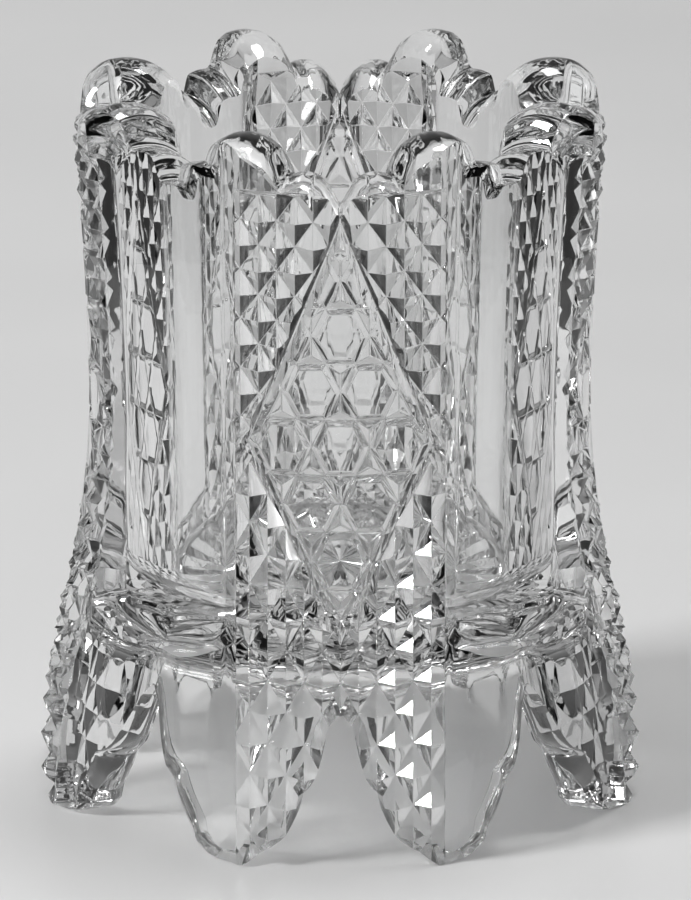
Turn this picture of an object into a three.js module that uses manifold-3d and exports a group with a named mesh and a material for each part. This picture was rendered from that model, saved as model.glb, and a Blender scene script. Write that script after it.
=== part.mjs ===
// Toothpick holder in clear pressed glass: a round well on eight scalloped feet. Four raised panels
// of diamond points, each with a tall diamond of hexagon buttons, stand between four plain panels.
// Millimetres, +Z up. The origin is on the table under the middle of the holder, and the panel
// called front faces -Y. Angles are in degrees, turned from the middle of a cut panel.

import * as THREE from 'three';
import { mergeVertices } from 'three/addons/utils/BufferGeometryUtils.js';
import Module from 'manifold-3d';

const wasm = await Module();
wasm.setup();

// Outline of the body, over the diamond points
const totalHeight = 62;
const rimRadius = 23.1;
const waistRadius = 21.8;
const footRadius = 26.6;
const waistHeight = 36;
const flareUpPower = 1.4;
const flareDownPower = 1.25;

// Round well for the toothpicks
const wallThickness = 5.8;
const wellDraft = 0.7;
const wellFloorHeight = 19;
const wellCornerRadius = 2.6;
const wellSides = 48;

// Raised cut panels, with smooth flanks that slant down to the sides between them
const panelHalfWidth = 8.8;
const panelSeatShare = 0.3;
const flankDrop = 0.5;
const flankWidth = 0.95;
const skirtFlankWidth = 2.1;

// Diamond points
const pointRise = 1.3;
const smoothBandHeight = 4.1;
const upperColumnPitch = 1.52;
const upperRowPitch = 2.17;
const lowerColumnPitch = 1.53;
const lowerRowPitch = 2.6;

// Tall diamond on each cut panel, framed by a mitred groove
const diamondHalfWidth = 7.7;
const diamondMiddleHeight = 35.6;
const diamondTopMargin = 0.95;
const diamondBottomHeight = 18.6;
const diamondTipWidth = 0.1;
const grooveWidth = 1.5;
const grooveFloorWidth = 0.14;
const grooveDepth = 0.1;

// Hexagon buttons and the small triangles between them
const buttonPitch = 4.87;
const buttonRowPitch = 4.87;
const buttonGround = 0.4;
const buttonRise = 0.6;
const buttonBevel = 0.55;
const buttonRoot = 0.3;

// Flat plain panels, the ledge under them and the skirt
const plainRecess = 0.9;
const plainStraightHeight = 30;
const ledgeHeight = 19.8;
const ledgeFall = 1.3;
const ledgeSag = 2.2;
const skirtRecess = 1.1;
const skirtThickness = 4;
const skirtValley = 1.3;

// Feet. The limit is how near a foot comes to the plane halfway between two cut panels.
const footHeight = 13.2;
const footAngle = 21.5;
const footEdgeLimit = 0.2;
const footBevelWidth = 1.4;
const footBevelDepth = 1.3;

// Underside of the base, with a pressed star
const undersideHeight = 15;
const undersideCorner = 1.2;
const starDepth = 0.7;
const starPoints = 16;

// Scalloped rim
const scallopDepth = 6.05;
const rimCrown = 1.3;

// How far a cutting shape runs past what it cuts
const overrun = 1;

// Rim outline over an eighth of a turn: angle, and share of the scallop depth above the notch
const rimShares = [
  [0, 0], [1.2, 0.15], [3.5, 0.35], [6, 0.455], [8.8, 0.49], [11, 0.465], [12.7, 0.42],
  [13.6, 0.6], [16, 0.82], [19.5, 0.95], [23.3, 1], [27, 0.97], [30, 0.87], [31.8, 0.68],
  [32.8, 0.48], [36.5, 0.49], [40.4, 0.45], [41.8, 0.12], [45, 0.1],
];

// Rim section: share of the wall from the well outwards, and share of the crown that it falls
const crownShares = [[-0.25, 1.05], [0.05, 0.8], [0.3, 0.15], [0.6, 0], [0.88, 0.15], [1.04, 0.62], [1.4, 0.62]];

// Foot outline: share of the foot height, angle of the edge under the cut panel, and angle of the
// edge under the plain panel
const footShares = [
  [0, 18.6, 24.6], [0.035, 17.2, 27.2], [0.1, 14.8, 29.8], [0.19, 11, 31.2], [0.3, 9.4, 33.2],
  [0.38, 8.9, 34.5], [0.47, 8.4, 35.6], [0.54, 6.2, 37.8], [0.6, 5.1, 38.6], [0.73, 4, 39.8],
  [0.9, 3, 41.3], [1, 1, 43.4],
];

const wellRadius = waistRadius - wallThickness;
const seatDistance = wellRadius + panelSeatShare * wallThickness;
const notchHeight = totalHeight - scallopDepth;
const pointsTopHeight = totalHeight - smoothBandHeight;
const diamondTopHeight = notchHeight - diamondTopMargin;
const grooveSlopeShare = (grooveWidth - grooveFloorWidth) / 2 / (buttonGround + buttonRise + grooveDepth);
const wide = 2 * footRadius;

const radians = THREE.MathUtils.degToRad;
const degrees = THREE.MathUtils.radToDeg;
const between = THREE.MathUtils.lerp;
const clamp = THREE.MathUtils.clamp;
const smoothstep = THREE.MathUtils.smoothstep;

// Radius over the diamond points: narrowest at the waist, flared to the rim and more to the feet.
function pointRadius(z) {
  if (z >= waistHeight) {
    const up = clamp((z - waistHeight) / (totalHeight - waistHeight), 0, 1);
    return between(waistRadius, rimRadius, up ** flareUpPower);
  }
  const down = smoothstep(waistHeight - z, 0, waistHeight);
  return between(waistRadius, footRadius, down ** flareDownPower);
}

// Radius of the ground between the diamond points.
function groundRadius(z) {
  return pointRadius(z) - pointRise;
}

// Distance of a flat plain panel from the axis. The panel goes straight down where the body flares.
function plainDistance(z) {
  const cornerRadius = pointRadius(Math.max(z, plainStraightHeight)) - plainRecess;
  return cornerRadius * Math.cos(Math.PI / 4 - Math.asin(panelHalfWidth / cornerRadius));
}

// Radius of the smooth skirt under the ledge.
function skirtRadius(z) {
  return pointRadius(z) - skirtRecess;
}

function polar(radius, angle, z) {
  return [radius * Math.sin(radians(angle)), -radius * Math.cos(radians(angle)), z];
}

// A point of the front panel: x across it, and a height above the ground of the points.
function onPanel(x, height, z) {
  return [x, -Math.sqrt((groundRadius(z) + height) ** 2 - x ** 2), z];
}

// Closed skin over rings of equally many points, flat at both ends. The rings turn anticlockwise
// about the way they are stacked. turned picks the faces that are split on the other diagonal.
function stack(rings, turned = () => false) {
  const count = rings[0].length;
  const last = rings.length - 1;
  const middle = (ring) => [0, 1, 2].map((axis) => ring.reduce((sum, point) => sum + point[axis], 0) / count);
  const points = [...rings.flat(), middle(rings[0]), middle(rings[last])];
  const faces = [];
  for (let ring = 0; ring < last; ring++) {
    for (let i = 0; i < count; i++) {
      const a = ring * count + i;
      const b = ring * count + (i + 1) % count;
      const c = b + count;
      const d = a + count;
      if (turned(i, ring)) faces.push(a, b, d, b, c, d);
      else faces.push(a, b, c, a, c, d);
    }
  }
  for (let i = 0; i < count; i++) {
    const next = (i + 1) % count;
    faces.push(points.length - 2, next, i);
    faces.push(points.length - 1, last * count + i, last * count + next);
  }
  return solid(skin(points, faces));
}

function skin(points, faces) {
  const geometry = new THREE.BufferGeometry();
  geometry.setAttribute('position', new THREE.Float32BufferAttribute(points.flat(), 3));
  geometry.setIndex(faces);
  return geometry;
}

function solid(geometry) {
  const bare = geometry.clone();
  bare.deleteAttribute('normal');
  bare.deleteAttribute('uv');
  const merged = mergeVertices(bare);
  return new wasm.Manifold(new wasm.Mesh({
    numProp: 3,
    vertProperties: merged.attributes.position.array,
    triVerts: new Uint32Array(merged.index.array),
  }));
}

function block(xMin, xMax, yMin, yMax, zMin, zMax) {
  const geometry = new THREE.BoxGeometry(xMax - xMin, yMax - yMin, zMax - zMin);
  geometry.translate((xMin + xMax) / 2, (yMin + yMax) / 2, (zMin + zMax) / 2);
  return geometry;
}

function geometryOf(shape) {
  const mesh = shape.getMesh();
  const geometry = new THREE.BufferGeometry();
  geometry.setAttribute('position', new THREE.BufferAttribute(mesh.vertProperties, 3));
  geometry.setIndex(new THREE.BufferAttribute(mesh.triVerts, 1));
  const flat = geometry.toNonIndexed();
  flat.computeVertexNormals();
  return flat;
}

// Angles all round from angles over an eighth of a turn, which mirror about every 45 degrees.
function allRound(eighth) {
  const angles = [];
  for (let turn = 0; turn < 360; turn += 90) {
    for (const [index, angle] of eighth.entries()) angles.push([turn + angle, index]);
    for (let index = eighth.length - 2; index > 0; index--) {
      angles.push([turn + 90 - eighth[index], index]);
    }
  }
  return angles;
}

// One ring of the body: straight behind the cut panels, down their slanted flanks, and across the
// sides between them. outShare leads from the flat plain panel out to the skirt, at the height that
// heightAt gives for each place over an eighth of a turn.
function bodyRing(outShare, heightAt) {
  const eighthAngle = 45;
  const turnShares = [0, 0.27, 0, 0, 0.73, 0.88, 1];
  const valleyShares = [0, 0, 0, 0, 0, 0.6, 1];
  const places = turnShares.map((turnShare, index) => {
    const angle = turnShare * eighthAngle;
    const z = heightAt(index);
    const edgeRadius = pointRadius(z) - flankDrop;
    if (index < 2) return [angle, edgeRadius];
    if (index === 2) return [degrees(Math.asin(panelHalfWidth / edgeRadius)), edgeRadius];
    const flat = plainDistance(z);
    const outer = skirtRadius(z) - valleyShares[index] * skirtValley;
    const across = panelHalfWidth + between(flankWidth, skirtFlankWidth, outShare);
    const onFlat = degrees(Math.atan2(across, Math.SQRT2 * flat - across));
    const onSkirt = degrees(Math.asin(across / outer));
    const turn = index === 3 ? between(onFlat, onSkirt, outShare) : angle;
    return [turn, between(flat / Math.cos(radians(eighthAngle - turn)), outer, outShare)];
  });
  return allRound(places.map(([angle]) => angle))
    .map(([angle, index]) => polar(places[index][1], angle, heightAt(index)));
}

// Body of the plain panels, the ledge and the smooth skirt, solid inside.
function coreShape() {
  const sagShares = [0, 0, 0, 0.45, 0.85, 0.97, 1];
  const skirtShares = [0, 0.25, 0.5, 0.75, 1];
  const wallShares = [0.1, 0.25, 0.4, 0.6, 0.8, 1];
  const ledgeShares = [[1, 1], [0.45, 0.3], [0, 0]];
  const wallTop = totalHeight + rimCrown;
  return stack([
    ...skirtShares.map((share) => bodyRing(1, () => share * footHeight)),
    ...ledgeShares.map(([fallShare, outShare]) => bodyRing(outShare, (index) => {
      return ledgeHeight - fallShare * (ledgeFall + ledgeSag * sagShares[index]);
    })),
    ...wallShares.map((share) => bodyRing(0, () => between(ledgeHeight, wallTop, share))),
  ]);
}

// The well: a straight drafted wall, a round corner and a flat floor.
function wellShape() {
  const floorRadius = wellRadius - wellDraft;
  const centre = new THREE.Vector2(floorRadius - wellCornerRadius, wellFloorHeight + wellCornerRadius);
  const corner = new THREE.Path();
  corner.absarc(centre.x, centre.y, wellCornerRadius, -Math.PI / 2, 0, false);
  const top = totalHeight + rimCrown + overrun;
  const profile = [
    new THREE.Vector2(0, wellFloorHeight),
    ...corner.getPoints(5),
    new THREE.Vector2(wellRadius, top),
    new THREE.Vector2(0, top),
  ];
  return solid(new THREE.LatheGeometry(profile, wellSides).rotateX(Math.PI / 2));
}

// The hollow between the feet, with the star pressed into its ceiling.
function undersideShape() {
  const inner = (z) => skirtRadius(z) - skirtThickness;
  const ceilingRadius = inner(undersideHeight) - undersideCorner;
  const walls = [
    [inner(0), -overrun],
    [inner(0), 0],
    [inner(footHeight / 2), footHeight / 2],
    [inner(footHeight), footHeight],
    [ceilingRadius + undersideCorner / 2, undersideHeight - undersideCorner / 4],
    [ceilingRadius, undersideHeight],
  ];
  const starShares = [[0.88, 0, 0], [0.6, 0.9, 0.1], [0.2, 1, 0.3]];
  const step = 360 / (2 * starPoints);
  const round = Array.from({ length: 2 * starPoints }, (_, i) => i);
  const rings = walls.map(([radius, z]) => round.map((i) => polar(radius, i * step, z)));
  for (const [radiusShare, rayShare, ridgeShare] of starShares) {
    rings.push(round.map((i) => {
      const cut = starDepth * (i % 2 ? ridgeShare : rayShare);
      return polar(radiusShare * ceilingRadius, i * step, undersideHeight + cut);
    }));
  }
  return stack(rings);
}

// Everything above the scalloped rim.
function rimCutShape() {
  const eighth = allRound(rimShares.map(([angle]) => angle));
  const rings = [];
  for (const [wallShare, fallShare] of crownShares) {
    const radius = between(wellRadius, rimRadius, wallShare);
    rings.push(eighth.map(([angle, index]) => {
      const height = notchHeight + rimShares[index][1] * scallopDepth;
      return polar(radius, angle, height - fallShare * rimCrown);
    }));
  }
  const outside = rings[rings.length - 1];
  rings.push(outside.map(([x, y]) => [x, y, totalHeight + rimCrown + overrun]));
  return stack(rings);
}

// Rows of diamond points from the table to the smooth band under the rim. Below the middle of the
// diamond a column stands on the centre line, and above it the columns stand half a pitch aside.
function pointRows() {
  const rows = [];
  for (let row = 0; row * lowerRowPitch < diamondMiddleHeight; row++) {
    rows.push({ z: row * lowerRowPitch, row, pitch: lowerColumnPitch, shift: 0 });
  }
  const upper = { pitch: upperColumnPitch, shift: 0.5 };
  for (let row = 0; diamondMiddleHeight + row * upperRowPitch < pointsTopHeight; row++) {
    rows.push({ z: diamondMiddleHeight + row * upperRowPitch, row, ...upper });
  }
  const bandShares = [0, 0.5, 1];
  for (const share of bandShares) {
    rows.push({ z: between(pointsTopHeight, totalHeight + rimCrown, share), smooth: true, ...upper });
  }
  return rows;
}

// The raised panel with its field of rhombic points: tips and low nodes take turns along a row.
function pointsShape() {
  const columns = Math.ceil(panelHalfWidth / upperColumnPitch + 0.5);
  const places = Array.from({ length: 2 * columns + 1 }, (_, i) => i - columns);
  const isTip = (place, { row, shift, smooth }) => {
    const column = Math.max(Math.abs(place) - Math.ceil(shift), 0);
    return smooth || (column + row) % 2 === 1;
  };
  const rows = pointRows();
  const rings = rows.map((line) => {
    const across = (place) => Math.sign(place) * (Math.abs(place) - line.shift) * line.pitch;
    const front = places.map((place) => onPanel(across(place), isTip(place, line) ? pointRise : 0, line.z));
    return [...front, [across(columns), -seatDistance, line.z], [across(-columns), -seatDistance, line.z]];
  });
  const turned = (i, ring) => i < 2 * columns && isTip(places[i], rows[ring]);
  const panel = block(-panelHalfWidth, panelHalfWidth, -wide, -seatDistance, 0, totalHeight + rimCrown);
  return stack(rings, turned).intersect(solid(panel));
}

// A plug in the outline of the diamond. Its side slopes out from the middle of the groove, by a
// share of the rise, between a lower and an upper height over the ground of the points.
function diamondPlug(under, above, floor, slopeShare) {
  const acrossShares = [-1, -0.5, 0, 0.5, 1];
  const upShares = [-1, -0.66, -0.33, 0, 0.33, 0.66, 1];
  const at = (upShare, acrossShare, height) => {
    const size = 1 + (floor + slopeShare * (height + grooveDepth)) / diamondHalfWidth;
    const half = Math.max(size * diamondHalfWidth * (1 - Math.abs(upShare)), diamondTipWidth / 2);
    const end = upShare < 0 ? diamondBottomHeight : diamondTopHeight;
    const z = between(diamondMiddleHeight, end, size * Math.abs(upShare));
    return onPanel(acrossShare * half, height, z);
  };
  return stack(upShares.map((upShare) => [
    ...acrossShares.map((share) => at(upShare, share, above)),
    ...acrossShares.map((share) => at(upShare, -share, under)),
  ]));
}

// What the diamond takes out of the points, with the outer slope of the groove as its wall.
function pocketShape() {
  return diamondPlug(-grooveDepth, pointRise + overrun, grooveFloorWidth / 2, grooveSlopeShare);
}

// What is kept of the buttons, with the inner slope of the groove as its wall.
function keptButtonsShape() {
  const above = buttonGround + buttonRise + buttonRoot;
  return diamondPlug(-grooveDepth - buttonRoot, above, -grooveFloorWidth / 2, -grooveSlopeShare);
}

// Faces of hexagon buttons that touch at their corners, with a small three sided point above and
// below each touch. Every corner is a place across the panel, a height and a place up the panel.
function buttonFaces() {
  const half = buttonPitch / 2;
  const rowHalf = buttonRowPitch / 2;
  const hexagon = [[1, 0], [0.5, 1], [-0.5, 1], [-1, 0], [-0.5, -1], [0.5, -1]];
  const hanging = [[0, 0], [0.5, 1], [-0.5, 1]];
  const standing = [[0, 0], [-0.5, -1], [0.5, -1]];
  const flatShare = 1 - buttonBevel / rowHalf;
  const top = buttonGround + buttonRise;
  const faces = [];
  const at = (outline, x, z) => outline.map(([a, b]) => [x + a * half, buttonGround, z + b * rowHalf]);
  const columns = Math.ceil(diamondHalfWidth / buttonPitch);
  const rowsBelow = Math.ceil((diamondMiddleHeight - diamondBottomHeight) / buttonRowPitch);
  const rowsAbove = Math.ceil((diamondTopHeight - diamondMiddleHeight) / buttonRowPitch);
  for (let row = -rowsBelow; row <= rowsAbove; row++) {
    const z = diamondMiddleHeight + row * buttonRowPitch;
    for (let column = -columns; column <= columns; column++) {
      const x = (column + (row % 2 ? 0.5 : 0)) * buttonPitch;
      const low = at(hexagon, x, z);
      const flat = low.map(([px, , pz]) => [between(x, px, flatShare), top, between(z, pz, flatShare)]);
      low.forEach((corner, i) => {
        const next = (i + 1) % low.length;
        faces.push([corner, low[next], flat[next]], [corner, flat[next], flat[i]]);
        if (i > 1) faces.push([flat[0], flat[i - 1], flat[i]]);
      });
      for (const outline of [at(hanging, x + half, z), at(standing, x + half, z)]) {
        const tip = [x + half, top, outline.reduce((sum, corner) => sum + corner[2], 0) / outline.length];
        outline.forEach((corner, i) => faces.push([corner, outline[(i + 1) % outline.length], tip]));
      }
    }
  }
  return faces;
}

// The field of buttons as a closed slab, cut to the diamond.
function buttonsShape() {
  const under = -grooveDepth - 2 * buttonRoot;
  const name = (corner) => corner.map((value) => value.toFixed(5)).join();
  const edges = new Map();
  const faces = [];
  for (const face of buttonFaces()) {
    const low = face.map(([x, , z]) => [x, under, z]);
    faces.push(face, [low[0], low[2], low[1]]);
    face.forEach((corner, i) => {
      const next = face[(i + 1) % face.length];
      edges.set(`${name(corner)} ${name(next)}`, [corner, next]);
    });
  }
  for (const [corner, next] of edges.values()) {
    if (edges.has(`${name(next)} ${name(corner)}`)) continue;
    const lowCorner = [corner[0], under, corner[2]];
    const lowNext = [next[0], under, next[2]];
    faces.push([next, corner, lowCorner], [next, lowCorner, lowNext]);
  }
  const corners = faces.flat().map(([x, height, z]) => onPanel(x, height, z));
  return solid(skin(corners, corners.map((_, i) => i))).intersect(keptButtonsShape());
}

// Outline of the right foot of the front panel, from the table up. On the cut side it stands square
// to the skirt. On the plain side it runs straight back, with a bevel to its outer face.
function footPrism() {
  const inside = wellRadius / 2;
  const middle = radians(footAngle);
  const placed = (along, aside, z) => [
    along * Math.sin(middle) + aside * Math.cos(middle),
    aside * Math.sin(middle) - along * Math.cos(middle),
    z,
  ];
  return stack(footShares.map(([share, cutEdge, plainEdge]) => {
    const z = share * footHeight;
    const along = skirtRadius(z) * Math.cos(radians(plainEdge - footAngle));
    const aside = skirtRadius(z) * Math.sin(radians(plainEdge - footAngle));
    const back = skirtRadius(z) - skirtThickness - overrun;
    const lastEdge = 45 - degrees(Math.asin(footEdgeLimit / back));
    const backEdge = Math.min(footAngle + degrees(Math.asin(aside / back)), lastEdge);
    return [
      polar(wide, cutEdge, z),
      placed(wide, aside - footBevelWidth, z),
      placed(along, aside - footBevelWidth, z),
      placed(along - footBevelDepth, aside, z),
      polar(back, backEdge, z),
      polar(inside, backEdge, z),
      polar(inside, cutEdge, z),
    ];
  }));
}

let body = coreShape();
for (let turn = 0; turn < 4; turn++) {
  const seat = block(-panelHalfWidth, panelHalfWidth, -wide, -seatDistance, -overrun, 2 * totalHeight);
  body = body.subtract(solid(seat.rotateZ(turn * Math.PI / 2)));
}

const underside = undersideShape();
const rimCut = rimCutShape();
const aboveFeet = solid(block(-wide, wide, -wide, wide, footHeight, 2 * totalHeight));
const cutPanel = pointsShape().subtract(pocketShape()).add(buttonsShape());
const upperPanel = cutPanel.intersect(aboveFeet).subtract(underside).subtract(rimCut);
const cup = body.intersect(aboveFeet).subtract(wellShape()).subtract(underside).subtract(rimCut);
const rightFoot = body.add(cutPanel).subtract(underside).intersect(footPrism());
const leftFoot = rightFoot.mirror([1, 0, 0]);

const glass = {
  color: 0xe3e8ea,
  roughness: 0.04,
  metalness: 0,
};

function piece(name, geometry) {
  const mesh = new THREE.Mesh(geometry, new THREE.MeshStandardMaterial(glass));
  mesh.name = name;
  return mesh;
}

const holder = new THREE.Group();
holder.add(piece('cup', geometryOf(cup)));

const sides = ['front', 'right', 'back', 'left'];
const panelGeometry = geometryOf(upperPanel);
const leftFootGeometry = geometryOf(leftFoot);
const rightFootGeometry = geometryOf(rightFoot);
sides.forEach((side, turn) => {
  const group = new THREE.Group();
  group.rotation.z = turn * Math.PI / 2;
  group.add(piece(`${side}_cut_panel`, panelGeometry));
  group.add(piece(`${side}_panel_left_foot`, leftFootGeometry));
  group.add(piece(`${side}_panel_right_foot`, rightFootGeometry));
  holder.add(group);
});

export default holder;
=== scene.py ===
import math

import bpy
import numpy as np
from mathutils import Matrix, Vector


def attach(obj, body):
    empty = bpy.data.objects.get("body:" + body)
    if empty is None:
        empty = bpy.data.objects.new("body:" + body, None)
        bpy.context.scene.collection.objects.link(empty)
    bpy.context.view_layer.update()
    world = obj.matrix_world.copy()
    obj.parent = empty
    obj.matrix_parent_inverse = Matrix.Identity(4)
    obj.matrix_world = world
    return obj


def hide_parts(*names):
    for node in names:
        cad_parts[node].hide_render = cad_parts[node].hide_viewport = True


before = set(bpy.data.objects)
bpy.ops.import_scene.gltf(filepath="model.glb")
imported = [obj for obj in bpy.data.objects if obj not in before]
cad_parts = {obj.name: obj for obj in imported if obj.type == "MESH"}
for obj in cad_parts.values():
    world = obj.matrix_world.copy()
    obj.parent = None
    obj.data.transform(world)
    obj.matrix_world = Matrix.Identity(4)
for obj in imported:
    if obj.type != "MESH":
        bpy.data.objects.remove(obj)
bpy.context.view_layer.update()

# Camera: a long lens from the front, looking down at the holder a little more steeply than its rim
# shows. The holder fills the upright frame.
CAMERA_DISTANCE = 0.6886
CAMERA_HEIGHT = 0.2314
CAMERA_DOWN = math.radians(16.364)
CAMERA_AROUND = math.radians(-0.1)
CAMERA_ASIDE = math.radians(-0.04)
camera = bpy.data.objects.new("camera", bpy.data.cameras.new("camera"))
bpy.context.scene.collection.objects.link(camera)
camera.data.lens = 333.5
camera.data.sensor_width = 36
camera.location = (
    CAMERA_DISTANCE * math.sin(CAMERA_AROUND),
    -CAMERA_DISTANCE * math.cos(CAMERA_AROUND),
    CAMERA_HEIGHT,
)
camera.rotation_euler = (math.pi / 2 - CAMERA_DOWN, 0, CAMERA_AROUND + CAMERA_ASIDE)
bpy.context.scene.camera = camera

# Body: a thick drum of clear soda-lime glass, pressed in one shot in an iron mould. This section
# makes its four flat plain panels, the ledge under them and the smooth skirt of the feet, solid
# inside. All sizes of the glass are in millimetres until its last step.
TOTAL_HEIGHT = 62.0
RIM_RADIUS, RIM_FLARE, RIM_CROWN = 23.1, 1.4, 1.3
WAIST_RADIUS, WAIST_HEIGHT = 21.8, 36.0
FOOT_RADIUS, FOOT_FLARE, FOOT_HEIGHT = 26.6, 1.25, 13.2
PANEL_HALF_WIDTH = 8.8
FLANK_DROP, FLANK_WIDTH, SKIRT_FLANK_WIDTH = 0.5, 0.95, 2.1
PLAIN_RECESS, PLAIN_STRAIGHT_HEIGHT = 0.9, 30.0
LEDGE_HEIGHT, LEDGE_FALL, LEDGE_SAG, LEDGE_EASE = 19.8, 1.3, 2.2, 0.1
SKIRT_RECESS, SKIRT_VALLEY = 1.1, 1.3
FLANK_SHARE = 0.2
SKIRT_RINGS, LEDGE_RINGS, WALL_RINGS = 9, 8, 24


def point_radius(z):
    """Radius over the diamond points: a power curve from the waist out to the rim, and a smooth
    step to a power from the waist out to the feet."""
    z = np.asarray(z, float)
    up = np.clip((z - WAIST_HEIGHT) / (TOTAL_HEIGHT - WAIST_HEIGHT), 0, 1) ** RIM_FLARE
    down = np.clip((WAIST_HEIGHT - z) / WAIST_HEIGHT, 0, 1)
    down = (down * down * (3 - 2 * down)) ** FOOT_FLARE
    return WAIST_RADIUS + up * (RIM_RADIUS - WAIST_RADIUS) + down * (FOOT_RADIUS - WAIST_RADIUS)


def plain_distance(z):
    """Distance of a flat plain panel from the axis, straight down where the body flares."""
    corner = point_radius(np.maximum(z, PLAIN_STRAIGHT_HEIGHT)) - PLAIN_RECESS
    return corner * np.cos(math.pi / 4 - np.arcsin(PANEL_HALF_WIDTH / corner))


def skirt_radius(z):
    """Radius of the smooth skirt, a recess inside the radius over the points."""
    return point_radius(z) - SKIRT_RECESS


def polar(radius, angle, z):
    """Points at a radius, a height and an angle in degrees, turned from the front."""
    radius, angle, z = np.broadcast_arrays(radius, np.radians(angle), z)
    return np.stack([radius * np.sin(angle), -radius * np.cos(angle), z], axis=-1)


def piece(name, points, faces):
    """A mesh object in millimetres from an array of points and an array of triangles."""
    mesh = bpy.data.meshes.new(name)
    mesh.from_pydata(np.asarray(points, float), [], np.asarray(faces, int).tolist())
    made = bpy.data.objects.new(name, mesh)
    bpy.context.scene.collection.objects.link(made)
    return made


def stack(name, rings, turned=False):
    """A closed skin over rings of points, an array of rings by points by 3. Between neighbouring
    rings each cell is two triangles, split on the other diagonal where turned is true, and a fan
    of triangles closes each end."""
    rows, count = rings.shape[:2]
    here, after = np.arange(count), np.roll(np.arange(count), -1)
    first_of_row = np.arange(rows - 1)[:, None] * count
    a, b = first_of_row + here, first_of_row + after
    c, d = b + count, a + count
    turned = np.broadcast_to(turned, a.shape)
    first = np.stack([a, b, np.where(turned, d, c)], axis=-1)
    second = np.stack([np.where(turned, b, a), c, d], axis=-1)
    low, high, last = rows * count, rows * count + 1, (rows - 1) * count
    bottom = np.stack([np.full(count, low), after, here], axis=-1)
    top = np.stack([np.full(count, high), last + here, last + after], axis=-1)
    points = np.concatenate([rings.reshape(-1, 3), [rings[0].mean(0), rings[-1].mean(0)]])
    faces = np.concatenate([first.reshape(-1, 3), second.reshape(-1, 3), bottom, top])
    return piece(name, points, faces)


# The parts of an eighth of a turn: behind a cut panel, down its flank, and the side beyond it.
behind = np.linspace(0, 1, 5)[:-1]
down = np.linspace(0, 1, 6)[:-1]
beyond = np.linspace(0, 1, 19)
along = np.concatenate([0 * behind, FLANK_SHARE * down, FLANK_SHARE + (1 - FLANK_SHARE) * beyond])
sag = 1 - (1 - along) ** 3
valley = np.clip(2 * along - 1, 0, 1) ** 2 * (3 - 2 * np.clip(2 * along - 1, 0, 1))


def body_ring(out, z):
    """One ring of the body. Over an eighth of a turn it runs behind a cut panel, down that panel's
    slanted flank, and across the side beyond, where out leads from the flat plain panel to the
    skirt. z gives the height of each place. The eighth is mirrored and turned to the whole ring."""
    z = np.broadcast_to(z, along.shape)
    edge = point_radius(z) - FLANK_DROP
    outer = skirt_radius(z) - SKIRT_VALLEY * valley
    flat = plain_distance(z)
    across = PANEL_HALF_WIDTH + FLANK_WIDTH + (SKIRT_FLANK_WIDTH - FLANK_WIDTH) * out
    start = np.arcsin(PANEL_HALF_WIDTH / edge)
    flat_end = np.arctan2(across, math.sqrt(2) * flat - across)
    end = flat_end * (1 - out) + np.arcsin(across / outer) * out

    def side(angle):
        radius = flat / np.cos(math.pi / 4 - angle) * (1 - out) + outer * out
        return polar(radius, np.degrees(angle), z)

    reach = np.concatenate([behind, 0 * down + 1, 0 * beyond + 1])
    slope = np.concatenate([0 * behind, down, 0 * beyond])[:, None]
    share = np.concatenate([0 * behind, 0 * down, beyond])
    flank = polar(edge, np.degrees(start * reach), z) * (1 - slope) + side(end) * slope
    reached = side(end + (math.pi / 4 - end) * share)
    eighth = np.where(along[:, None] < FLANK_SHARE, flank, reached)
    mirrored = eighth[-2:0:-1][:, [1, 0, 2]] * (-1, -1, 1)
    quarter = np.concatenate([eighth, mirrored])
    turns = [quarter @ np.array(Matrix.Rotation(-turn * math.pi / 2, 3, "Z")) for turn in range(4)]
    return np.concatenate(turns)


rings = [body_ring(1, z) for z in np.linspace(0, FOOT_HEIGHT, SKIRT_RINGS)]
for turn in np.linspace(0, 1, LEDGE_RINGS):
    fall = 1 - (1 - LEDGE_EASE) * turn - LEDGE_EASE * turn * turn
    ledge = LEDGE_HEIGHT - fall * (LEDGE_FALL + LEDGE_SAG * sag)
    rings.append(body_ring(1 - math.sin(turn * math.pi / 2), ledge))
wall = np.linspace(LEDGE_HEIGHT, TOTAL_HEIGHT + RIM_CROWN, WALL_RINGS)
rings += [body_ring(0, z) for z in wall[1:]]
glass = stack("pressed_glass", np.array(rings))

# Cut panels: four raised panels of sharp rhombic points, copied in the mould from cut glass. The
# points stand in rows that take turns, and each is four flat facets up to a tip. Their edges are
# melted a little by the fire polish, and the outermost facets run down to the panel's flank.
POINT_RISE, UPPER_RISE = 1.3, 0.95
POINTS_TOP = 57.9
UPPER_COLUMN, UPPER_ROW = 1.52, 2.17
LOWER_COLUMN, LOWER_ROW = 1.53, 2.6
DIAMOND_MIDDLE = 35.6
RISE_FADE_BELOW, RISE_FADE_ABOVE = 8, 4
SMOOTH_ROWS = 4
POLISH_WIDTH, POLISH_SEGMENTS = 0.12, 2
POLISH_ANGLE = math.radians(25)
SEAT_DISTANCE, SEAT_OVERLAP, SEAT_DEPTH = 17.7, 0.05, 0.1
OVERRUN = 5
BEYOND = 60


def on_panel(x, height, z):
    """Points on the front panel: x across it, and a height above the ground of the points."""
    x, height, z = np.broadcast_arrays(x, height, z)
    radius = point_radius(z) - POINT_RISE + height
    return np.stack([x, -np.sqrt(radius * radius - x * x), z], axis=-1)


def block(name, low, high):
    """A box between two corners, each side two triangles."""
    (x0, y0, z0), (x1, y1, z1) = low, high
    square = np.array([(x0, y0), (x1, y0), (x1, y1), (x0, y1)])
    return stack(name, np.array([np.column_stack([square, np.full(4, z)]) for z in (z0, z1)]))


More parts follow.
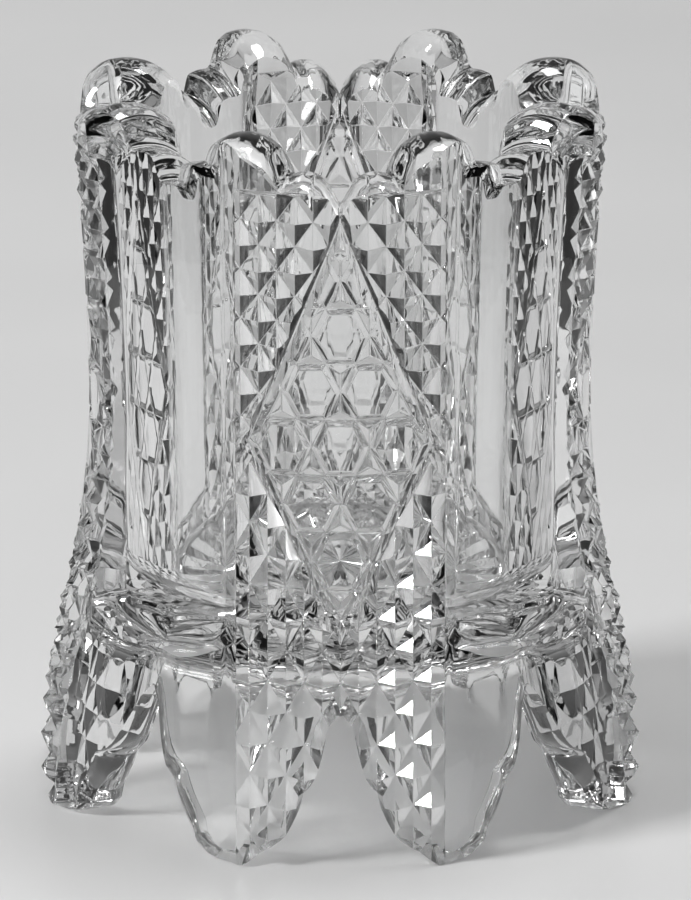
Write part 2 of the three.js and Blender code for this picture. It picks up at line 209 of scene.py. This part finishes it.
def finished(target):
    """Puts the result of a piece's modifiers in place of its mesh."""
    view = bpy.context.evaluated_depsgraph_get()
    made = bpy.data.meshes.new_from_object(target.evaluated_get(view))
    target.modifiers.clear()
    old, target.data = target.data, made
    bpy.data.meshes.remove(old)


def join(target, operation, *tools):
    """Joins closed tools to the target, or cuts it with them, one after another."""
    for tool in tools:
        change = target.modifiers.new(tool.name, "BOOLEAN")
        change.operation = operation
        change.solver = "MANIFOLD"
        change.object = tool
        finished(target)
        bpy.data.meshes.remove(tool.data)


def fire_polish(target):
    """Rounds the sharp edges of a closed mesh, as the fire polish melts them."""
    change = target.modifiers.new("fire_polish", "BEVEL")
    change.limit_method = "ANGLE"
    change.angle_limit = POLISH_ANGLE
    change.width = POLISH_WIDTH
    change.segments = POLISH_SEGMENTS
    finished(target)


def four(made):
    """Copies of a front piece for the four sides, turned about the middle of the holder."""
    sides = []
    for quarter in range(4):
        mesh = made.data.copy()
        mesh.transform(Matrix.Rotation(quarter * math.pi / 2, 4, "Z"))
        sides.append(bpy.data.objects.new(f"{made.name}_{quarter}", mesh))
        bpy.context.scene.collection.objects.link(sides[-1])
    bpy.data.meshes.remove(made.data)
    return sides


columns = math.ceil(PANEL_HALF_WIDTH / UPPER_COLUMN + 0.5)
places = np.arange(-columns, columns + 1)
lower_rows = np.arange(math.ceil(DIAMOND_MIDDLE / LOWER_ROW))
upper_rows = np.arange(math.ceil((POINTS_TOP - DIAMOND_MIDDLE) / UPPER_ROW))
smooth_row = (TOTAL_HEIGHT + RIM_CROWN - POINTS_TOP) / (SMOOTH_ROWS - 1)
rings, tips = [], []
for rows, pitch, row_pitch, start, shift, smooth in (
    (lower_rows, LOWER_COLUMN, LOWER_ROW, 0, 0.0, False),
    (upper_rows, UPPER_COLUMN, UPPER_ROW, DIAMOND_MIDDLE, 0.5, False),
    (np.arange(SMOOTH_ROWS), UPPER_COLUMN, smooth_row, POINTS_TOP, 0.5, True),
):
    for row in rows:
        column = np.maximum(np.abs(places) - math.ceil(shift), 0)
        tip = smooth | ((column + row) % 2 == 1)
        x = np.sign(places) * (np.abs(places) - shift) * pitch
        z = start + row * row_pitch
        fade = (DIAMOND_MIDDLE - RISE_FADE_BELOW, DIAMOND_MIDDLE + RISE_FADE_ABOVE)
        rise = np.interp(z, fade, (POINT_RISE, UPPER_RISE))
        height = np.where(tip, POINT_RISE, POINT_RISE - rise)
        inside = np.abs(x) < PANEL_HALF_WIDTH
        last, end = np.abs(x[inside][-1]), height[inside][-1]
        past = (np.abs(x) - last) / (PANEL_HALF_WIDTH - last)
        height = np.where(inside, height, end + (POINT_RISE - FLANK_DROP - end) * past)
        seat = [(x[-1], -SEAT_DISTANCE, z), (x[0], -SEAT_DISTANCE, z)]
        rings.append(np.concatenate([on_panel(x, height, z), seat]))
        tips.append(np.concatenate([tip[:-1], [False] * 3]))
panel = stack("point_panel", np.array(rings), np.array(tips[:-1]))
fire_polish(panel)
panel_top = rings[-1][0, 2]
width = block("panel_width", (-PANEL_HALF_WIDTH, -BEYOND, 0), (PANEL_HALF_WIDTH, 0, panel_top))
join(panel, "INTERSECT", width)

# Tall diamond on each cut panel: a mitred groove frames it, and inside it lie hexagon buttons with
# bevelled edges, corner to corner, with small three-sided points between them. The groove, the
# buttons and the points are all one with the glass of the panel.
DIAMOND_HALF_WIDTH = 7.7
DIAMOND_TOP, DIAMOND_BOTTOM = 55.0, 18.6
GROOVE_WIDTH, GROOVE_FLOOR, GROOVE_DEPTH = 1.5, 0.14, 0.1
BUTTON_PITCH = 4.87
BUTTON_GROUND, BUTTON_RISE, BUTTON_BEVEL, BUTTON_ROOT = 0.6, 0.45, 0.45, 0.3
BUTTON_ROWS, BUTTON_COLUMNS = 4, 2
PLUG_ROWS, PLUG_COLUMNS, PLUG_TIP = 25, 13, 0.05
POCKET_OVERRUN = 1


def diamond_plug(name, under, above, floor, slope):
    """A plug in the outline of the diamond. Its half width falls in a line from the middle to each
    tip, and it grows with height by the slope of the groove's side."""
    across = np.linspace(-1, 1, PLUG_COLUMNS)
    rings = []
    for up in np.linspace(-1, 1, PLUG_ROWS):
        edge = []
        for height, shares in ((above, across), (under, -across)):
            size = 1 + (floor + slope * (height + GROOVE_DEPTH)) / DIAMOND_HALF_WIDTH
            half = max(size * DIAMOND_HALF_WIDTH * (1 - abs(up)), PLUG_TIP)
            end = DIAMOND_BOTTOM if up < 0 else DIAMOND_TOP
            z = DIAMOND_MIDDLE + (end - DIAMOND_MIDDLE) * size * abs(up)
            edge.append(on_panel(shares * half, height, z))
        rings.append(np.concatenate(edge))
    return stack(name, np.array(rings))


def button_field(name):
    """Triangles of every button over a lattice of centres: a hexagon rises over its bevel to a flat
    top, and a triangle above and below each touching corner rises to a point. A wall round the
    field and a copy of it underneath close the piece."""
    half = BUTTON_PITCH / 2
    hexagon = np.array([(1, 0), (0.5, 1), (-0.5, 1), (-1, 0), (-0.5, -1), (0.5, -1)]) * half
    nexts = np.roll(hexagon, -1, axis=0)
    inner = 1 - BUTTON_BEVEL / half

    def corner(at, height):
        return np.column_stack([at[:, 0], np.full(len(at), height), at[:, 1]])

    low, low_next = corner(hexagon, BUTTON_GROUND), corner(nexts, BUTTON_GROUND)
    flat, flat_next = corner(hexagon * inner, button_top), corner(nexts * inner, button_top)
    middle = corner(np.zeros((6, 2)), button_top)
    sides = ((low, low_next, flat_next), (low, flat_next, flat), (flat, flat_next, middle))
    cell = [np.stack(side, axis=1) for side in sides]
    for outline in ([(0, 0), (0.5, 1), (-0.5, 1)], [(0, 0), (-0.5, -1), (0.5, -1)]):
        base = np.array(outline) * half + (half, 0)
        tip = corner(np.repeat(base.mean(0)[None], 3, axis=0), button_top)
        ends = corner(base, BUTTON_GROUND), corner(np.roll(base, -1, axis=0), BUTTON_GROUND)
        cell.append(np.stack([*ends, tip], axis=1))
    cell = np.concatenate(cell)
    centres = [((column + (row % 2) / 2) * BUTTON_PITCH, 0, DIAMOND_MIDDLE + row * BUTTON_PITCH)
               for row in range(-BUTTON_ROWS, BUTTON_ROWS + 1)
               for column in range(-BUTTON_COLUMNS, BUTTON_COLUMNS + 1)]
    faces = (cell[None] + np.array(centres)[:, None, None]).reshape(-1, 3, 3)
    keys = np.round(faces * 1e4).astype(np.int64)
    _, index = np.unique(keys.reshape(-1, 3), axis=0, return_inverse=True)
    index = index.reshape(-1, 3)
    points = np.zeros((index.max() + 1, 3))
    points[index.ravel()] = faces.reshape(-1, 3)
    edges = np.concatenate([index[:, [0, 1]], index[:, [1, 2]], index[:, [2, 0]]]).tolist()
    known = set(map(tuple, edges))
    rim = np.array([edge for edge in edges if (edge[1], edge[0]) not in known])
    under = points.copy()
    under[:, 1] = -GROOVE_DEPTH - 2 * BUTTON_ROOT
    count = len(points)
    walls = np.concatenate([np.stack([rim[:, 1], rim[:, 0], rim[:, 0] + count], axis=1),
                            np.stack([rim[:, 1], rim[:, 0] + count, rim[:, 1] + count], axis=1)])
    every = np.concatenate([points, under])
    return piece(name, on_panel(*every.T), np.concatenate([index, index[:, ::-1] + count, walls]))


button_top = BUTTON_GROUND + BUTTON_RISE
groove_slope = (GROOVE_WIDTH - GROOVE_FLOOR) / 2 / (button_top + GROOVE_DEPTH)
pocket = diamond_plug("pocket", -GROOVE_DEPTH, POINT_RISE + POCKET_OVERRUN,
                      GROOVE_FLOOR / 2, groove_slope)
kept = diamond_plug("kept_buttons", -GROOVE_DEPTH - BUTTON_ROOT, button_top + BUTTON_ROOT,
                    -GROOVE_FLOOR / 2, -groove_slope)
buttons = button_field("buttons")
fire_polish(buttons)
join(buttons, "INTERSECT", kept)
join(panel, "DIFFERENCE", pocket)
join(panel, "UNION", buttons)
seat_half = PANEL_HALF_WIDTH - SEAT_OVERLAP
seat = block("seat", (-seat_half, -BEYOND, -OVERRUN),
             (seat_half, -SEAT_DISTANCE - SEAT_DEPTH, TOTAL_HEIGHT + OVERRUN))
join(glass, "DIFFERENCE", *four(seat))
join(glass, "UNION", *four(panel))

# Well: the smooth round hollow that the plunger leaves, with a little draft and a round corner at
# its floor. The toothpicks stand in it.
WELL_RADIUS, WELL_DRAFT = 16.0, 0.7
WELL_FLOOR, WELL_FLAT, WELL_CORNER = 19.0, 6.0, 2.6
WELL_SIDES, WELL_BENDS = 192, 12
AXIS_RADIUS = 1.0
bend = np.radians(np.linspace(-90, 0, WELL_BENDS))
corner = WELL_RADIUS - WELL_DRAFT - WELL_CORNER + WELL_CORNER * np.cos(bend)
radii = np.concatenate([[AXIS_RADIUS, WELL_FLAT], corner, [WELL_RADIUS]])
rise = WELL_FLOOR + WELL_CORNER + WELL_CORNER * np.sin(bend)
heights = np.concatenate([[WELL_FLOOR] * 2, rise, [TOTAL_HEIGHT + 4]])
angles = np.arange(WELL_SIDES) * 360 / WELL_SIDES
well = stack("well", polar(radii[:, None], angles[None], heights[:, None]))
join(glass, "DIFFERENCE", well)

# Underside: the hollow that the mould's bottom plate leaves between the feet, with a star of
# sixteen rays pressed into its ceiling.
SKIRT_THICKNESS = 4.0
UNDERSIDE_HEIGHT, UNDERSIDE_CORNER = 15.0, 1.2
UNDERSIDE_START, UNDERSIDE_BENDS = -2, 6
STAR_DEPTH, STAR_RAYS, STAR_STEPS = 0.7, 16, 8
# share of the ceiling's radius, share of the star's depth between the rays and along a ray's ridge
STAR_SHARES = ((0.9, 0, 0), (0.6, 0.9, 0.1), (0.2, 1, 0.3))


def underside_radius(z):
    """Radius of the hollow inside the skirt."""
    return skirt_radius(z) - SKIRT_THICKNESS


count = STAR_RAYS * STAR_STEPS
steps = np.arange(count) * 360 / count
ray = 1 - 2 * np.abs((np.arange(count) / STAR_STEPS) % 1 - 0.5)
ceiling = underside_radius(UNDERSIDE_HEIGHT) - UNDERSIDE_CORNER
rings = [polar(underside_radius(0), steps, UNDERSIDE_START)]
rings += [polar(underside_radius(z), steps, z) for z in np.linspace(0, FOOT_HEIGHT, SKIRT_RINGS)]
for turn in np.radians(np.linspace(0, 90, UNDERSIDE_BENDS))[1:]:
    radius = ceiling + (underside_radius(FOOT_HEIGHT) - ceiling) * math.cos(turn)
    height = FOOT_HEIGHT + (UNDERSIDE_HEIGHT - FOOT_HEIGHT) * math.sin(turn)
    rings.append(polar(radius, steps, height))
for reach, depth, ridge in STAR_SHARES:
    height = UNDERSIDE_HEIGHT + STAR_DEPTH * (depth + (ridge - depth) * ray)
    rings.append(polar(reach * ceiling, steps, height))
join(glass, "DIFFERENCE", stack("underside", np.array(rings)))

# Rim: the mould gives it scallops, two tall lobes to each cut panel with low ones between them, and
# steps over the plain panels. Fire polish rounds it over.
SCALLOP_DEPTH = 6.05
# angle from the middle of a cut panel, share of the scallops' depth
RIM_SHARES = np.array([
    (0, 0), (1.2, 0.15), (3.5, 0.35), (6, 0.455), (8.8, 0.49), (11, 0.465), (12.7, 0.42),
    (13.6, 0.6), (16, 0.82), (19.5, 0.95), (23.3, 1), (27, 0.97), (30, 0.87), (31.8, 0.68),
    (32.8, 0.48), (36.5, 0.49), (40.4, 0.45), (41.8, 0.12), (45, 0.1),
])
# share of the way from the well to the rim's radius, share of the crown's fall
CROWN_SHARES = np.array([
    (-0.3, 2.4), (0, 1.15), (0.12, 0.62), (0.3, 0.16), (0.52, 0), (0.74, 0.1), (0.9, 0.42),
    (1.0, 0.9), (1.06, 1.4), (1.5, 2.4),
])
RIM_ANGLES, RIM_SOFTENING = 720, 5
CROWN_STEPS, CROWN_SOFTENING = 40, 5
RIM_OVERRUN = 3


def softened(values, width):
    """A running mean, over a window of that many samples, of values that go all round."""
    window = np.hanning(width + 2)[1:-1]
    padded = np.concatenate([values[-width:], values, values[:width]])
    return np.convolve(padded, window / window.sum(), "same")[width:-width]


angles = np.arange(RIM_ANGLES) * 360 / RIM_ANGLES
folded = np.abs((angles + 45) % 90 - 45)
scallops = softened(np.interp(folded, *RIM_SHARES.T), RIM_SOFTENING)
outline = scallops * SCALLOP_DEPTH + TOTAL_HEIGHT - SCALLOP_DEPTH
across = np.linspace(CROWN_SHARES[0, 0], CROWN_SHARES[-1, 0], CROWN_STEPS)
crown = np.interp(across, *CROWN_SHARES.T)
crown[2:-2] = np.convolve(crown, np.full(CROWN_SOFTENING, 1 / CROWN_SOFTENING), "same")[2:-2]
radii = WELL_RADIUS + across * (RIM_RADIUS - WELL_RADIUS)
rings = [polar(AXIS_RADIUS, angles, outline - crown[0] * RIM_CROWN)]
rings += [polar(radius, angles, outline - fall * RIM_CROWN) for radius, fall in zip(radii, crown)]
rings.append(polar(radii[-1], angles, TOTAL_HEIGHT + RIM_OVERRUN))
rings.append(polar(AXIS_RADIUS, angles, TOTAL_HEIGHT + RIM_OVERRUN))
join(glass, "DIFFERENCE", stack("rim_cut", np.array(rings)))

# Feet: eight lobes with notched edges, two under each cut panel, left standing between arches that
# are cut up into the skirt. A creased, rounded border runs down the plain side of each, on its
# outer and its inner face, and its lower end turns under in a small nose.
FOOT_ANGLE = 21.5
FOOT_NOSE = 0.5
PLAIN_ROUND, BACK_ROUND, CUT_ROUND = 1.15, 1.1, 0.9
EDGE_CREASE, EDGE_BENDS = math.radians(28), 8
BORDER_FULL_HEIGHT, BORDER_LEAST_SHARE = 2.5, 0.45
INSIDE_RADIUS, LANE_GAP = 8, 0.05
# share of the foot's height, angle of its edge under the cut panel and under the plain panel
FOOT_SHARES = np.array([
    (0, 18.6, 24.6), (0.035, 17.2, 27.2), (0.1, 14.8, 29.8), (0.19, 11, 31.2), (0.3, 9.4, 33.2),
    (0.38, 8.9, 34.5), (0.47, 8.4, 35.6), (0.54, 6.2, 37.8), (0.6, 5.1, 38.6), (0.73, 4, 39.8),
    (0.9, 3, 41.3), (1, 1, 43.4), (1.05, 0.6, 43.8),
])
shares = np.concatenate([np.linspace(0, 0.1, 9)[:-1], np.linspace(0.1, 1.05, 40)])
cut_edge, plain_edge = (np.interp(shares, FOOT_SHARES[:, 0], FOOT_SHARES[:, k]) for k in (1, 2))
z = shares * FOOT_HEIGHT
middle = math.radians(FOOT_ANGLE)
nose = np.clip(1 - z / FOOT_NOSE, 0, 1)
nose = FOOT_NOSE * (1 - np.sqrt(1 - nose * nose))
border = np.interp(z, (0, BORDER_FULL_HEIGHT), (BORDER_LEAST_SHARE, 1))


def placed(along, aside):
    """Points of the front panel's right foot: along the foot's own middle line, and aside from it."""
    along, aside = np.broadcast_arrays(along, aside)
    return np.stack([along * math.sin(middle) + aside * math.cos(middle),
                     aside * math.sin(middle) - along * math.cos(middle), z], axis=-1)


def round_edge(radius, edge, way, deep, back=0):
    """The edge of a foot, an arc from its outer face out to the side, and the way out of the glass
    before it, cut short where the foot's nose turns under. Where back isn't zero both faces have
    an arc, and each starts at a crease."""
    crease = EDGE_CREASE if back else 0
    flat = 1 - math.sin(crease)
    deep, back = deep * border, back * border
    aside = radius * np.sin(np.radians(edge) - middle) + way * deep
    start = np.sqrt(radius ** 2 - aside ** 2)
    lane = [placed(np.where(z < FOOT_NOSE, start - nose, BEYOND), aside)]
    for bend in np.linspace(crease, math.pi / 2, EDGE_BENDS):
        down = (math.cos(crease) - math.cos(bend)) / flat
        out = (math.sin(bend) - math.sin(crease)) / flat
        turned_under = nose * math.cos(bend / 2) ** 2
        lane.append(placed(start - deep * down - turned_under, aside - way * deep * out))
    if crease:
        for bend in np.linspace(math.pi / 2, crease, EDGE_BENDS):
            down = (math.cos(crease) - math.cos(bend)) / flat
            out = (math.sin(bend) - math.sin(crease)) / flat
            turned_under = nose * (1 - math.cos(bend)) / 2
            lane.append(placed(start - SKIRT_THICKNESS + back * down - turned_under,
                               aside - way * (deep - back * (1 - out))))
    return lane


inside = np.where(z < FOOT_NOSE, underside_radius(z) + nose, INSIDE_RADIUS)
plain_side = round_edge(skirt_radius(z), plain_edge, -1, PLAIN_ROUND, BACK_ROUND)
back_x, back_y = plain_side[-1][:, 0], plain_side[-1][:, 1]
back_edge = np.degrees(np.arctan2(back_x, -back_y))
lane = [polar(inside, cut_edge, z)]
lane += round_edge(point_radius(z), cut_edge, 1, CUT_ROUND)[::-1]
lane += plain_side
lane += [polar(np.minimum(inside, np.hypot(back_x, back_y) - LANE_GAP), back_edge, z)]
right = stack("foot_outline", np.stack(lane, axis=1))
left = stack("left_outline", np.stack(lane, axis=1)[:, ::-1] * (-1, 1, 1))
arches = block("arches", (-BEYOND, -BEYOND, -OVERRUN), (BEYOND, BEYOND, FOOT_HEIGHT))
join(arches, "DIFFERENCE", *four(right), *four(left))
join(glass, "DIFFERENCE", arches)

# Surface of the glass: the smooth parts are shaded smooth, and so are the melted edges of the
# points, whose flat facets keep their own direction. This section turns the glass to metres.
SMOOTH_ANGLE, POINTS_SMOOTH_ANGLE = math.radians(24), math.radians(50)
POINTS_MARGIN, POINTS_DEPTH = 0.03, 0.5
FACET_WEIGHT = 50
glass.data.transform(Matrix.Scale(0.001, 4))
glass.data.polygons.foreach_set("use_smooth", [True] * len(glass.data.polygons))
spots = np.empty((len(glass.data.vertices), 3))
glass.data.vertices.foreach_get("co", spots.ravel())
x, y, z = np.abs(spots.T) * 1000
on_points = ((np.minimum(x, y) < PANEL_HALF_WIDTH + POINTS_MARGIN)
             & (np.maximum(x, y) > SEAT_DISTANCE + POINTS_DEPTH) & (z < POINTS_TOP))
glass.vertex_groups.new(name="points").add(np.nonzero(on_points)[0].tolist(), 1, "REPLACE")
ends = np.empty((len(glass.data.edges), 2), dtype=int)
glass.data.edges.foreach_get("vertices", ends.ravel())
sharp = []
for limit in (SMOOTH_ANGLE, POINTS_SMOOTH_ANGLE):
    glass.data.set_sharp_from_angle(angle=limit)
    marks = np.zeros(len(ends), dtype=bool)
    glass.data.attributes["sharp_edge"].data.foreach_get("value", marks)
    sharp.append(marks)
kept_sharp = np.where(on_points[ends].all(1), sharp[1], sharp[0])
glass.data.attributes["sharp_edge"].data.foreach_set("value", kept_sharp)
facets = glass.modifiers.new("flat_facets", "WEIGHTED_NORMAL")
facets.mode = "FACE_AREA"
facets.weight = FACET_WEIGHT
facets.keep_sharp = True
facets.vertex_group = "points"
finished(glass)

# Glass: clear and colourless, with the faint ripple that the mould and the fire polish leave. It
# lets a little light through to its shadow.
GLASS_IOR = 1.52
CLEAREST, FAINTEST_TINT = (0.985, 0.988, 0.988, 1), (0.962, 0.966, 0.966, 1)
TINT_SCALE, RIPPLE_SCALE = 60, 260
GREATEST_ROUGHNESS = 0.05
SHADOW_TINT = (0.18, 0.18, 0.18, 1)
material = bpy.data.materials.new("clear_pressed_glass")
material.use_nodes = True
nodes, links = material.node_tree.nodes, material.node_tree.links
nodes.clear()
output = nodes.new("ShaderNodeOutputMaterial")
surface = nodes.new("ShaderNodeBsdfPrincipled")
surface.inputs["Transmission Weight"].default_value = 1
surface.inputs["IOR"].default_value = GLASS_IOR
surface.inputs["Metallic"].default_value = 0
place = nodes.new("ShaderNodeTexCoord")
tint = nodes.new("ShaderNodeTexNoise")
tint.inputs["Scale"].default_value = TINT_SCALE
links.new(place.outputs["Object"], tint.inputs["Vector"])
tone = nodes.new("ShaderNodeValToRGB")
tone.color_ramp.elements[0].position = 0.3
tone.color_ramp.elements[0].color = FAINTEST_TINT
tone.color_ramp.elements[1].position = 0.7
tone.color_ramp.elements[1].color = CLEAREST
links.new(tint.outputs["Fac"], tone.inputs["Fac"])
links.new(tone.outputs["Color"], surface.inputs["Base Color"])
sheen = nodes.new("ShaderNodeMapRange")
sheen.inputs["To Min"].default_value = 0.0
sheen.inputs["To Max"].default_value = GREATEST_ROUGHNESS
links.new(tint.outputs["Fac"], sheen.inputs["Value"])
links.new(sheen.outputs["Result"], surface.inputs["Roughness"])
ripple = nodes.new("ShaderNodeTexNoise")
ripple.inputs["Scale"].default_value = RIPPLE_SCALE
links.new(place.outputs["Object"], ripple.inputs["Vector"])
bump = nodes.new("ShaderNodeBump")
bump.inputs["Strength"].default_value = 0.25
bump.inputs["Distance"].default_value = 0.0001
links.new(ripple.outputs["Fac"], bump.inputs["Height"])
links.new(bump.outputs["Normal"], surface.inputs["Normal"])
shade = nodes.new("ShaderNodeBsdfTransparent")
shade.inputs["Color"].default_value = SHADOW_TINT
path = nodes.new("ShaderNodeLightPath")
mix = nodes.new("ShaderNodeMixShader")
links.new(path.outputs["Is Shadow Ray"], mix.inputs["Fac"])
links.new(surface.outputs["BSDF"], mix.inputs[1])
links.new(shade.outputs["BSDF"], mix.inputs[2])
links.new(mix.outputs["Shader"], output.inputs["Surface"])
glass.data.materials.clear()
glass.data.materials.append(material)
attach(glass, "root")
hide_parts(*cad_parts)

# Table and backdrop: one sweep of pale grey paper with a slight gloss, narrow round the holder so
# that its sides stay dark in the glass, that curves up behind it. Its back isn't drawn, so that
# the holder is seen from behind too. These sizes are in metres.
PAPER_FRONT, PAPER_START, PAPER_REACH, PAPER_TOP = -0.5, 0.2, 0.5, 0.8
PAPER_CURVE, PAPER_STEPS = 0.4, 25
NARROW_HALF, WIDE_HALF, NARROW_UNTIL = 0.13, 0.42, 0.06
PAPER_TONES = (0.58, 0.58, 0.58, 1), (0.62, 0.62, 0.62, 1)
PAPER_ROUGHNESS = 0.26, 0.36
MOTTLE_SCALE = 14
curve = np.radians(np.linspace(0, 90, PAPER_STEPS))
paper_back = PAPER_REACH + PAPER_CURVE
depth = np.concatenate([[PAPER_FRONT, PAPER_START], PAPER_REACH + PAPER_CURVE * np.sin(curve),
                        [paper_back]])
height = np.concatenate([[0, 0], PAPER_CURVE - PAPER_CURVE * np.cos(curve), [PAPER_TOP]])
half = np.interp(depth, (NARROW_UNTIL, paper_back), (NARROW_HALF, WIDE_HALF))
corners = np.stack([np.column_stack([way * half, depth, height]) for way in (-1, 1)], axis=1)
first = 2 * np.arange(len(depth) - 1)
faces = np.column_stack([first, first + 1, first + 3, first + 2])
mesh = bpy.data.meshes.new("paper_sweep")
mesh.from_pydata(corners.reshape(-1, 3), [], faces.tolist())
mesh.polygons.foreach_set("use_smooth", [True] * len(faces))
sweep = bpy.data.objects.new("paper_sweep", mesh)
bpy.context.scene.collection.objects.link(sweep)
paper = bpy.data.materials.new("pale_grey_paper")
paper.use_nodes = True
paper_nodes, paper_links = paper.node_tree.nodes, paper.node_tree.links
paper_surface = paper_nodes["Principled BSDF"]
grain = paper_nodes.new("ShaderNodeTexCoord")
mottle = paper_nodes.new("ShaderNodeTexNoise")
mottle.inputs["Scale"].default_value = MOTTLE_SCALE
paper_links.new(grain.outputs["Object"], mottle.inputs["Vector"])
paper_tone = paper_nodes.new("ShaderNodeValToRGB")
paper_tone.color_ramp.elements[0].position = 0.3
paper_tone.color_ramp.elements[0].color = PAPER_TONES[0]
paper_tone.color_ramp.elements[1].position = 0.7
paper_tone.color_ramp.elements[1].color = PAPER_TONES[1]
paper_links.new(mottle.outputs["Fac"], paper_tone.inputs["Fac"])
paper_links.new(paper_tone.outputs["Color"], paper_surface.inputs["Base Color"])
paper_gloss = paper_nodes.new("ShaderNodeMapRange")
paper_gloss.inputs["To Min"].default_value = PAPER_ROUGHNESS[0]
paper_gloss.inputs["To Max"].default_value = PAPER_ROUGHNESS[1]
paper_links.new(mottle.outputs["Fac"], paper_gloss.inputs["Value"])
paper_links.new(paper_gloss.outputs["Result"], paper_surface.inputs["Roughness"])
side = paper_nodes.new("ShaderNodeNewGeometry")
nothing = paper_nodes.new("ShaderNodeBsdfTransparent")
facing = paper_nodes.new("ShaderNodeMixShader")
paper_links.new(side.outputs["Backfacing"], facing.inputs["Fac"])
paper_links.new(paper_surface.outputs["BSDF"], facing.inputs[1])
paper_links.new(nothing.outputs["BSDF"], facing.inputs[2])
paper_links.new(facing.outputs["Shader"], paper_nodes["Material Output"].inputs["Surface"])
mesh.materials.append(paper)

# Light: a soft box at the left, a wider one overhead, and a dim room round them that is darkest
# low down. Only the camera sees the room as pale.
ROOM_LOW, ROOM_HIGH, ROOM_HIGH_AT = (0.03, 0.03, 0.03, 1), (0.4, 0.4, 0.4, 1), 0.9
ROOM_SEEN = (0.55, 0.55, 0.55, 1)
LAMPS = (
    ("left_box", (-0.7, -0.3, 0.6), 0.22, 8.0),
    ("top_box", (0.1, 0.15, 0.9), 0.24, 3.2),
)
LAMP_TARGET = (0, 0, 0.03)
world = bpy.data.worlds.new("dim_room")
bpy.context.scene.world = world
world.use_nodes = True
room = world.node_tree
sky = room.nodes.new("ShaderNodeTexCoord")
level = room.nodes.new("ShaderNodeSeparateXYZ")
room.links.new(sky.outputs["Generated"], level.inputs["Vector"])
dusk = room.nodes.new("ShaderNodeValToRGB")
dusk.color_ramp.elements[0].position = 0.0
dusk.color_ramp.elements[0].color = ROOM_LOW
dusk.color_ramp.elements[1].position = ROOM_HIGH_AT
dusk.color_ramp.elements[1].color = ROOM_HIGH
room.links.new(level.outputs["Z"], dusk.inputs["Fac"])
seen = room.nodes.new("ShaderNodeLightPath")
pick = room.nodes.new("ShaderNodeMix")
pick.data_type = "RGBA"
pick.inputs[7].default_value = ROOM_SEEN
room.links.new(seen.outputs["Is Camera Ray"], pick.inputs[0])
room.links.new(dusk.outputs["Color"], pick.inputs[6])
room.links.new(pick.outputs[2], room.nodes["Background"].inputs["Color"])
for name, location, size, power in LAMPS:
    lamp = bpy.data.lights.new(name, "AREA")
    lamp.shape = "SQUARE"
    lamp.size = size
    lamp.energy = power
    holder = bpy.data.objects.new(name, lamp)
    bpy.context.scene.collection.objects.link(holder)
    holder.location = location
    holder.rotation_mode = "QUATERNION"
    holder.rotation_quaternion = (Vector(location) - Vector(LAMP_TARGET)).to_track_quat("Z", "Y")

bpy.context.scene.view_settings.view_transform = "Standard"
